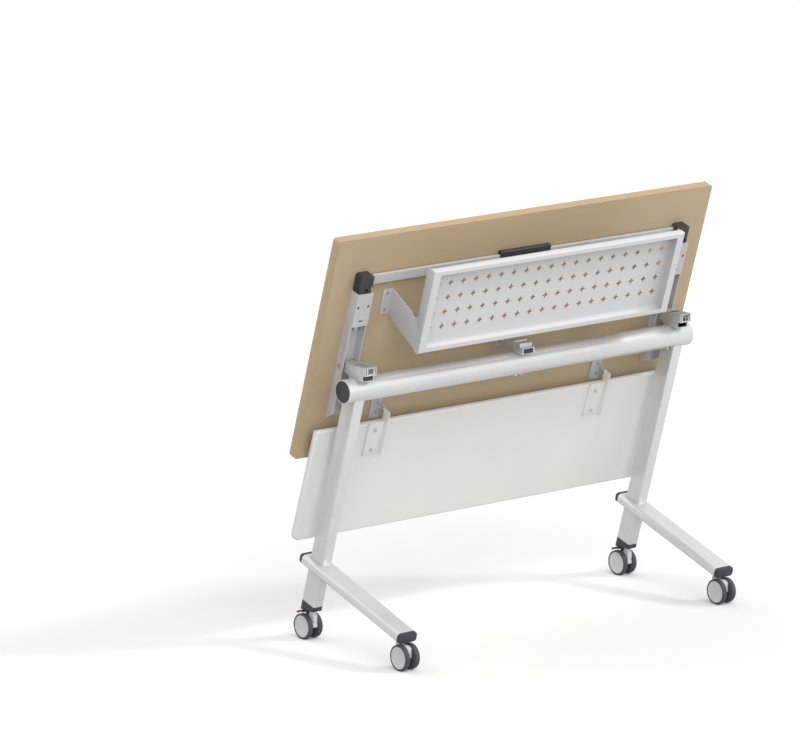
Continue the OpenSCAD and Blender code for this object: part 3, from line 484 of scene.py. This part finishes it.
FINISHES = {}
FINISH_MAKERS = {
    "board_laminate": lambda table: laminate("Board laminate", table.board),
    "edge_band": lambda table: edge_plastic("Edge band", table.band),
    "frame_silver": lambda table: powder_coat("Frame powder coat", table.silver, 0.28, 0.32),
    "pressed_steel": lambda table: powder_coat("Pressed steel coat", table.pressed, 0.45),
    "tray_white": lambda table: powder_coat("Tray powder coat", table.tray, 0.5),
    "panel_white": lambda table: powder_coat("Panel coat", table.panel, 0.5),
    "cast_alloy": lambda table: cast_metal("Cast alloy", table.cast),
    "black_plastic": lambda table: moulded("Black plastic", table.black),
    "zinc_steel": lambda table: plated_steel("Zinc steel", table.zinc),
    "fork_grey": lambda table: moulded("Light nylon", table.nylon, 0.48, 1400, 0.04),
    "wheel_rubber": lambda table: rubber("Tread", table.tread),
}


def finish_named(slot):
    """The material for one of the record's slots, made once."""
    if slot not in FINISHES:
        FINISHES[slot] = FINISH_MAKERS[slot](bpy.context.scene.table_finishes)
    return FINISHES[slot]


SLOT_OF = {part["node"]: part["material_slot"] for part in frame["record"]["subparts"]}


def dress_copies(nodes, edge, segments=2):
    """Replaces each node by a copy with rounded edges in the finish of its slot."""
    for node in nodes:
        slot = SLOT_OF[node]
        piece = eased(node, node + "_shown", edge, segments)
        hand_over(piece, node + "_shown", slot, node)


# Pieces


class MakeBoard(bpy.types.Operator):
    """Board with its laminate and edge band"""

    bl_idname = "training_table.make_board"
    bl_label = "Board"

    def execute(self, context):
        dress_copies(["table_top"], AS_CUT)
        dress_copies(["edge_band"], BAND_EDGE, 3)
        return {"FINISHED"}


class MakeFrameTubes(bpy.types.Operator):
    """Beam, columns and feet with their caps, plugs and sockets"""

    bl_idname = "training_table.make_frame_tubes"
    bl_label = "Frame tubes"

    def execute(self, context):
        dress_copies(["beam"], TUBE_EDGE)
        dress_copies(["left_column", "right_column", "left_foot", "right_foot"], TUBE_EDGE)
        dress_copies(["beam_end_caps", "foot_front_caps", "foot_rear_caps"], CAP_EDGE, 3)
        dress_copies(["column_plugs", "caster_sockets"], TUBE_EDGE)
        return {"FINISHED"}


class MakeHingeBrackets(bpy.types.Operator):
    """Cast brackets on the beam with their mouldings, bolts and pins"""

    bl_idname = "training_table.make_hinge_brackets"
    bl_label = "Hinge brackets"

    def execute(self, context):
        dress_copies(["left_hinge_bracket", "right_hinge_bracket", "centre_hinge_bracket"], CAST_EDGE, 3)
        dress_copies(["clamp_inserts", "bracket_bolts", "pivot_pins"], SMALL_EDGE)
        return {"FINISHED"}


class MakeChannels(bpy.types.Operator):
    """Channels on the underside with their covers, guides, springs and screws"""

    bl_idname = "training_table.make_channels"
    bl_label = "Channels"

    def execute(self, context):
        dress_copies(["left_channel", "right_channel", "centre_channel"], SHEET_EDGE)
        dress_copies(["channel_covers"], AS_CUT)
        dress_copies(["wood_screws", "bolt_guides"], SCREW_EDGE)
        dress_copies(["return_springs"], AS_CUT)
        return {"FINISHED"}


class MakeRelease(bpy.types.Operator):
    """Release bar, hand grip, corner housings and latch bolts"""

    bl_idname = "training_table.make_release"
    bl_label = "Release"

    def execute(self, context):
        dress_copies(["release_bar"], SMALL_EDGE)
        dress_copies(["release_grip"], GRIP_EDGE, 3)
        dress_copies(["left_latch_housing", "right_latch_housing"], HOUSING_EDGE, 3)
        dress_copies(["latch_bolts"], TUBE_EDGE)
        return {"FINISHED"}


def quarter_turn(steps):
    """Angles in equal steps from zero to a quarter turn."""
    return [math.pi / 2 * step / steps for step in range(steps + 1)]


def star_cell(tray):
    """One square of the tray's sheet with a star hole: four tips with hollow sides."""
    points = 16
    tip_share, flank_share, waist_share = 1.0, 0.60, 0.46
    star_shares = (tip_share, flank_share, waist_share, flank_share)
    side_shares = (0.0, 0.5, 1.0, 0.5)
    tip, half = tray.star / 2, tray.pitch / 2
    bpy.ops.mesh.primitive_circle_add(vertices=points, radius=tip, fill_type="NOTHING")
    cell = bpy.context.active_object

    def quarter_step(co):
        """The point's number within its quarter turn, from 0 to 3."""
        return round(math.atan2(co.y, co.x) / (math.tau / points)) % 4

    def on_star(co):
        return co * star_shares[quarter_step(co)]

    def on_square(co):
        """Sides of the square, with the points of neighbouring cells on top of each other."""
        along = half * side_shares[quarter_step(co)]
        across, up = half, half
        if abs(co.x) > abs(co.y) + MERGE:
            up = along
        elif abs(co.y) > abs(co.x) + MERGE:
            across = along
        return Vector((math.copysign(across, co.x), math.copysign(up, co.y), 0))

    with shaping(cell):
        bpy.ops.mesh.select_all(action="SELECT")
        bpy.ops.mesh.extrude_edges_move()
        put_selected(cell, on_square)
        pick(cell, lambda co: co.length < tip + MERGE)
        put_selected(cell, on_star)
    return cell


def tray_section(tray):
    """The tray's skin from the star field outwards: (half width, half height, depth from its back)."""
    half_w, half_h = tray.width / 2, tray.height / 2
    section = []
    for turn in quarter_turn(6):
        inset = tray.bend * (1 - math.sin(turn))
        section.append((half_w - inset, half_h - inset, tray.bend * (1 - math.cos(turn))))
    for turn in quarter_turn(6):
        inset = tray.fold * (1 - math.cos(turn))
        section.append((half_w - inset, half_h - inset, tray.depth - tray.fold * (1 - math.sin(turn))))
    section.append((half_w - tray.rim_end, half_h - tray.rim_long, tray.depth))
    return section


class MakeTray(bpy.types.Operator):
    """Hanging tray with star holes, long bends and folded rims, and its brackets"""

    bl_idname = "training_table.make_tray"
    bl_label = "Hanging tray"

    def execute(self, context):
        tray = context.scene.tray_sizes
        sheet = star_cell(tray)
        for count, step in ((tray.columns, (tray.pitch, 0, 0)), (tray.rows, (0, tray.pitch, 0))):
            apply_modifier(
                sheet, "ARRAY", count=count, constant_offset_displace=step, use_relative_offset=False,
                use_constant_offset=True, use_merge_vertices=True, merge_threshold=CLOSE,
            )
        shift = Vector((-(tray.columns - 1) / 2 * tray.pitch, -(tray.rows - 1) / 2 * tray.pitch, 0))
        settle(sheet, Matrix.Translation(shift))
        half_w, half_h = tray.columns * tray.pitch / 2, tray.rows * tray.pitch / 2
        with shaping(sheet):
            for new_w, new_h, rise in tray_section(tray):
                self.pick_rim(sheet, half_w, half_h)
                bpy.ops.mesh.extrude_edges_move()

                def outwards(co, w=half_w, h=half_h, to_w=new_w, to_h=new_h, level=rise):
                    x = math.copysign(to_w, co.x) if abs(co.x) > w - CLOSE else co.x
                    y = math.copysign(to_h, co.y) if abs(co.y) > h - CLOSE else co.y
                    return Vector((x, y, level))

                put_selected(sheet, outwards)
                half_w, half_h = new_w, new_h
        outward(sheet)
        apply_modifier(sheet, "SOLIDIFY", thickness=tray.gauge, offset=1.0, use_even_offset=True)
        smooth(sheet)
        settle(sheet, top_place() @ Matrix.Translation((0, tray.low + tray.height / 2, tray.back)))
        hand_over(sheet, "tray_sheet", "tray_white", "shelf_tray")
        dress_copies(["left_tray_bracket", "right_tray_bracket"], SHEET_EDGE)
        return {"FINISHED"}

    @staticmethod
    def pick_rim(sheet, half_w, half_h):
        """Selects the outer edge of the sheet, which was drawn last."""
        mesh = bmesh.from_edit_mesh(sheet.data)
        for vert in mesh.verts:
            vert.select_set(False)
        for edge in mesh.edges:
            if not edge.is_boundary:
                continue
            ends = [vert.co for vert in edge.verts]
            on_side = all(abs(abs(co.x) - half_w) < CLOSE for co in ends)
            on_end = all(abs(abs(co.y) - half_h) < CLOSE for co in ends)
            if on_side or on_end:
                edge.select_set(True)
        bmesh.update_edit_mesh(sheet.data)


class MakeModestyPanel(bpy.types.Operator):
    """Modesty panel with rolled edges, its arms, hinge plates, pins and screws"""

    bl_idname = "training_table.make_modesty_panel"
    bl_label = "Modesty panel"
    TILT = math.radians(0.8)
    MARGIN = 1.5 * MM

    def execute(self, context):
        panel = context.scene.panel_sizes
        sheet = self.front_face(panel)
        roll = panel.roll
        section = [(roll * (1 - math.sin(turn)), roll * (1 - math.cos(turn))) for turn in quarter_turn(7)]
        section.append((0, panel.fold))
        with shaping(sheet, "EDGE"):
            bpy.ops.mesh.select_all(action="SELECT")
            bpy.ops.mesh.region_to_loop()
            for inset, depth in section[1:]:
                bpy.ops.mesh.extrude_edges_move()
                put_selected(sheet, lambda co, i=inset, d=depth: self.moved_in(panel, co, i, d))
        outward(sheet)
        apply_modifier(sheet, "SOLIDIFY", thickness=panel.gauge, offset=-1.0, use_even_offset=True)
        smooth(sheet)
        tilt = Matrix.Rotation(self.TILT, 4, "X")
        hinge = Vector(JOINTS["modesty_swing"]["pos_m"])
        turned_frame = Matrix.Translation(hinge) @ top_place().to_3x3().to_4x4() @ tilt
        settle(sheet, turned_frame @ Matrix.Translation((0, -panel.gap, panel.front)))
        hand_over(sheet, "modesty_sheet", "panel_white", "modesty_panel")
        dress_copies(["modesty_arms"], TUBE_EDGE, 3)
        dress_copies(["modesty_hinge_plates"], SHEET_EDGE)
        dress_copies(["modesty_pins", "modesty_screws"], SMALL_EDGE)
        return {"FINISHED"}

    def front_face(self, panel):
        """The flat front with round lower corners, moved in by the roll, and a margin round it."""
        bpy.ops.object.select_all(action="DESELECT")
        bpy.ops.mesh.primitive_plane_add(size=1)
        sheet = bpy.context.active_object
        with shaping(sheet):
            bpy.ops.mesh.select_all(action="SELECT")
            put_selected(sheet, lambda co: Vector((co.x * panel.width, (co.y - 0.5) * panel.height, 0)))
            pick(sheet, lambda co: co.y < -panel.height / 2)
            bpy.ops.mesh.bevel(offset=panel.corner, segments=12, affect="VERTICES")
            bpy.ops.mesh.select_all(action="SELECT")
            put_selected(sheet, lambda co: self.moved_in(panel, co, panel.roll, 0))
            bpy.ops.mesh.inset(thickness=self.MARGIN)
        return sheet

    @staticmethod
    def moved_in(panel, co, inset, depth):
        """A point of the outline moved in by the inset and back by the depth."""
        side = math.copysign(1, co.x)
        if co.y > -panel.height / 2:
            return Vector((side * (panel.width / 2 - inset), -inset, -depth))
        centre = Vector((side * (panel.width / 2 - panel.corner), panel.corner - panel.height, 0))
        way = Vector((co.x - centre.x, co.y - centre.y, 0)).normalized()
        return centre + way * (panel.corner - inset) - Vector((0, 0, depth))


def turned(profile, segments=96):
    """A ring turned about the X axis from (radius, place along X) points, as an open skin."""
    radius, along = profile[0]
    bpy.ops.mesh.primitive_circle_add(
        vertices=segments, radius=radius, fill_type="NOTHING", location=(along, 0, 0),
        rotation=(0, math.pi / 2, 0),
    )
    ring = bpy.context.active_object
    settle(ring)
    with shaping(ring):
        bpy.ops.mesh.select_all(action="SELECT")
        for new_radius, new_along in profile[1:]:
            bpy.ops.mesh.extrude_edges_move(TRANSFORM_OT_translate={"value": (new_along - along, 0, 0)})
            grow = new_radius / radius
            bpy.ops.transform.resize(value=(1, grow, grow), center_override=(new_along, 0, 0))
            radius, along = new_radius, new_along
    return ring


def arc_points(centre, radius, start, end, steps):
    """Points of an arc in a profile, angles in degrees from outwards towards +X."""
    points = []
    for step in range(steps + 1):
        turn = math.radians(start + (end - start) * step / steps)
        points.append((centre[0] + radius * math.cos(turn), centre[1] + radius * math.sin(turn)))
    return points


def tyre(sizes):
    """Tread and body of a wheel: coned inner shoulder, round outer shoulder, a lip round the disc."""
    shoulder, cone_in, cone_along, turn_in, lip = 2.4 * MM, 8 * MM, 4 * MM, 1.5 * MM, 0.7 * MM
    recess, cone_start = 1.6 * MM, -58
    profile = [(sizes.bore, sizes.inner), (sizes.radius - cone_in, sizes.inner)]
    profile += arc_points((sizes.radius - turn_in, sizes.inner + cone_along), turn_in, cone_start, 0, 5)
    profile += arc_points((sizes.radius - shoulder, sizes.outer - shoulder), shoulder, 0, 90, 6)
    profile += arc_points((sizes.disc + lip, sizes.outer - lip), lip, 90, 180, 3)
    profile += [(sizes.disc, sizes.outer - recess), (sizes.bore, sizes.outer - recess), profile[0]]
    ring = turned(profile)
    outward(ring)
    return ring


def disc(sizes):
    """Light disc let into a wheel: a soft edge, a shallow step and a faint dome."""
    back_depth, edge, face_depth, side_gap = 1.5 * MM, 0.6 * MM, 0.55 * MM, 0.15 * MM
    step_w, step_d, dome_d, middle_d = 0.5 * MM, 0.25 * MM, 0.1 * MM, 0.05 * MM
    back_share, step_share, dome_share, middle_share = 0.9, 0.86, 0.35, 0.35 / 3
    back, face = sizes.outer - back_depth, sizes.outer - face_depth
    radius = sizes.disc - side_gap
    profile = [(radius * back_share, back), (radius, back)]
    profile += arc_points((radius - edge, face - edge), edge, 0, 90, 4)
    profile += [(radius * step_share + step_w, face), (radius * step_share, face - step_d)]
    profile += [(radius * dome_share, face - dome_d), (radius * middle_share, face - middle_d)]
    plate = turned(profile)
    with shaping(plate, "EDGE"):
        for ring_share in (back_share, middle_share):
            ring = radius * ring_share
            pick(plate, lambda co, ring=ring: abs(math.hypot(co.y, co.z) - ring) < 2 * CLOSE)
            bpy.ops.mesh.edge_face_add()
    outward(plate)
    return plate


class MakeCasters(bpy.types.Operator):
    """Four twin-wheel casters: forks, axles, wheels and rear brake pedals"""

    bl_idname = "training_table.make_casters"
    bl_label = "Casters"

    def execute(self, context):
        sizes = context.scene.wheel_sizes
        for end in ENDS:
            for side in SIDES:
                caster = f"{end}_{side}"
                dress_copies([caster + "_caster_fork"], FORK_EDGE, 3)
                dress_copies([caster + "_axle"], SMALL_EDGE)
                for which in ("outer", "inner"):
                    self.wheel(sizes, side, which, f"{caster}_{which}_roll", f"{caster}_wheel_{which}")
        for side in SIDES:
            dress_copies([f"rear_{side}_brake_pedal"], CAST_EDGE, 3)
            dress_copies([f"rear_{side}_brake_pin"], PIN_EDGE)
        return {"FINISHED"}

    @staticmethod
    def wheel(sizes, side, which, joint, node):
        """One wheel at its joint, its disc facing away from the caster's middle."""
        axle = Vector(JOINTS[joint]["pos_m"])
        outwards = -1 if (side == "left") == (which == "outer") else 1
        place = Matrix.Translation(axle)
        if outwards < 0:
            place = place @ Matrix.Rotation(math.pi, 4, "Z")
        for maker, slot, part in ((tyre, "wheel_rubber", "tyre"), (disc, "fork_grey", "disc")):
            piece = maker(sizes)
            smooth(piece)
            settle(piece, place)
            hand_over(piece, f"{node}_{part}", slot, node)


# Stage


def seen_rays(tree):
    """1 for what the camera or a reflection sees, 0 for what only gives light."""
    rays = tree.nodes.new("ShaderNodeLightPath")
    seen = tree.nodes.new("ShaderNodeMath")
    seen.operation = "MAXIMUM"
    tree.links.new(rays.outputs["Is Camera Ray"], seen.inputs[0])
    tree.links.new(rays.outputs["Is Glossy Ray"], seen.inputs[1])
    return seen.outputs["Value"]


class MakeStage(bpy.types.Operator):
    """Pale floor, soft studio light and the camera"""

    bl_idname = "training_table.make_stage"
    bl_label = "Stage"

    def execute(self, context):
        self.floor()
        self.world(context.scene)
        self.lamps()
        self.camera(context.scene)
        return {"FINISHED"}

    @staticmethod
    def floor():
        """White to the camera and to reflections, darker as a light that bounces back up."""
        side = 60
        seen_white, bounced_white = 0.92, 0.42
        bpy.ops.object.select_all(action="DESELECT")
        bpy.ops.mesh.primitive_plane_add(size=side)
        floor = bpy.context.active_object
        floor.name = "floor"
        finish = Finish("Floor", (seen_white,) * 3, 0.85)
        whites = [(0, (bounced_white,) * 3), (1, (seen_white,) * 3)]
        finish.colour(finish.ramp(seen_rays(finish.tree), whites))
        floor.data.materials.append(finish.material)

    @staticmethod
    def world(scene):
        """White to the camera and to reflections, softer as light."""
        light_level, seen_level = 0.56, 1.0
        world = bpy.data.worlds.new("Studio")
        scene.world = world
        world.use_nodes = True
        nodes, links = world.node_tree.nodes, world.node_tree.links
        background = nodes["Background"]
        background.inputs["Color"].default_value = (1, 1, 1, 1)
        level = nodes.new("ShaderNodeMapRange")
        level.inputs["To Min"].default_value = light_level
        level.inputs["To Max"].default_value = seen_level
        links.new(seen_rays(world.node_tree), level.inputs["Value"])
        links.new(level.outputs["Result"], background.inputs["Strength"])

    @staticmethod
    def lamps():
        """Broad suns and a narrow one for the streak on the beam; turns and spreads in degrees."""
        for name, turns, strength, spread in (
            ("overhead", (-14, -10, 0), 0.2, 40),
            ("back fill", (-58, 0, 15), 0.6, 60),
            ("front left fill", (62, 0, -30), 1.45, 60),
            ("front right fill", (62, 0, 30), 0.5, 60),
            ("front right streak", (50, 0, 53), 0.8, 9),
        ):
            lamp = bpy.data.lights.new(name, "SUN")
            lamp.energy = strength
            lamp.angle = math.radians(spread)
            holder = bpy.data.objects.new(name, lamp)
            bpy.context.scene.collection.objects.link(holder)
            holder.rotation_euler = [math.radians(turn) for turn in turns]

    @staticmethod
    def camera(scene):
        """A long lens from the left and a little above."""
        place = Vector((-9.14623, -10.98927, 3.77808))
        pan, tilt = math.radians(-38.59), math.radians(12.38)
        lens = bpy.data.cameras.new("camera")
        lens.sensor_width = 36
        lens.lens = 264.2
        lens.clip_end = 200
        camera = bpy.data.objects.new("camera", lens)
        scene.collection.objects.link(camera)
        camera.location = place
        camera.rotation_euler = (math.pi / 2 - tilt, 0, pan)
        scene.camera = camera
        scene.view_settings.view_transform = "Standard"


OPERATORS = (
    MakeBoard,
    MakeFrameTubes,
    MakeHingeBrackets,
    MakeChannels,
    MakeRelease,
    MakeTray,
    MakeModestyPanel,
    MakeCasters,
    MakeStage,
)


class TablePanel(bpy.types.Panel):
    """The table's sizes, colours and makers"""

    bl_idname = "VIEW3D_PT_training_table"
    bl_label = "Training table"
    bl_space_type = "VIEW_3D"
    bl_region_type = "UI"
    bl_category = "Training table"

    def draw(self, context):
        for key in GROUPS:
            group = getattr(context.scene, key)
            box = self.layout.box()
            for name in group.__annotations__:
                box.prop(group, name)
        for operator in OPERATORS:
            self.layout.operator(operator.bl_idname)


GROUPS = {
    "table_finishes": TableFinishes,
    "tray_sizes": TraySizes,
    "panel_sizes": PanelSizes,
    "wheel_sizes": WheelSizes,
}


def register():
    for group in GROUPS.values():
        bpy.utils.register_class(group)
    for name, group in GROUPS.items():
        setattr(bpy.types.Scene, name, bpy.props.PointerProperty(type=group))
    for operator in OPERATORS:
        bpy.utils.register_class(operator)
    bpy.utils.register_class(TablePanel)


def unregister():
    bpy.utils.unregister_class(TablePanel)
    for operator in reversed(OPERATORS):
        bpy.utils.unregister_class(operator)
    for name in GROUPS:
        delattr(bpy.types.Scene, name)
    for group in GROUPS.values():
        bpy.utils.unregister_class(group)


def main():
    register()
    for operator in OPERATORS:
        group, name = operator.bl_idname.split(".")
        getattr(getattr(bpy.ops, group), name)()


if __name__ == "__main__":
    main()
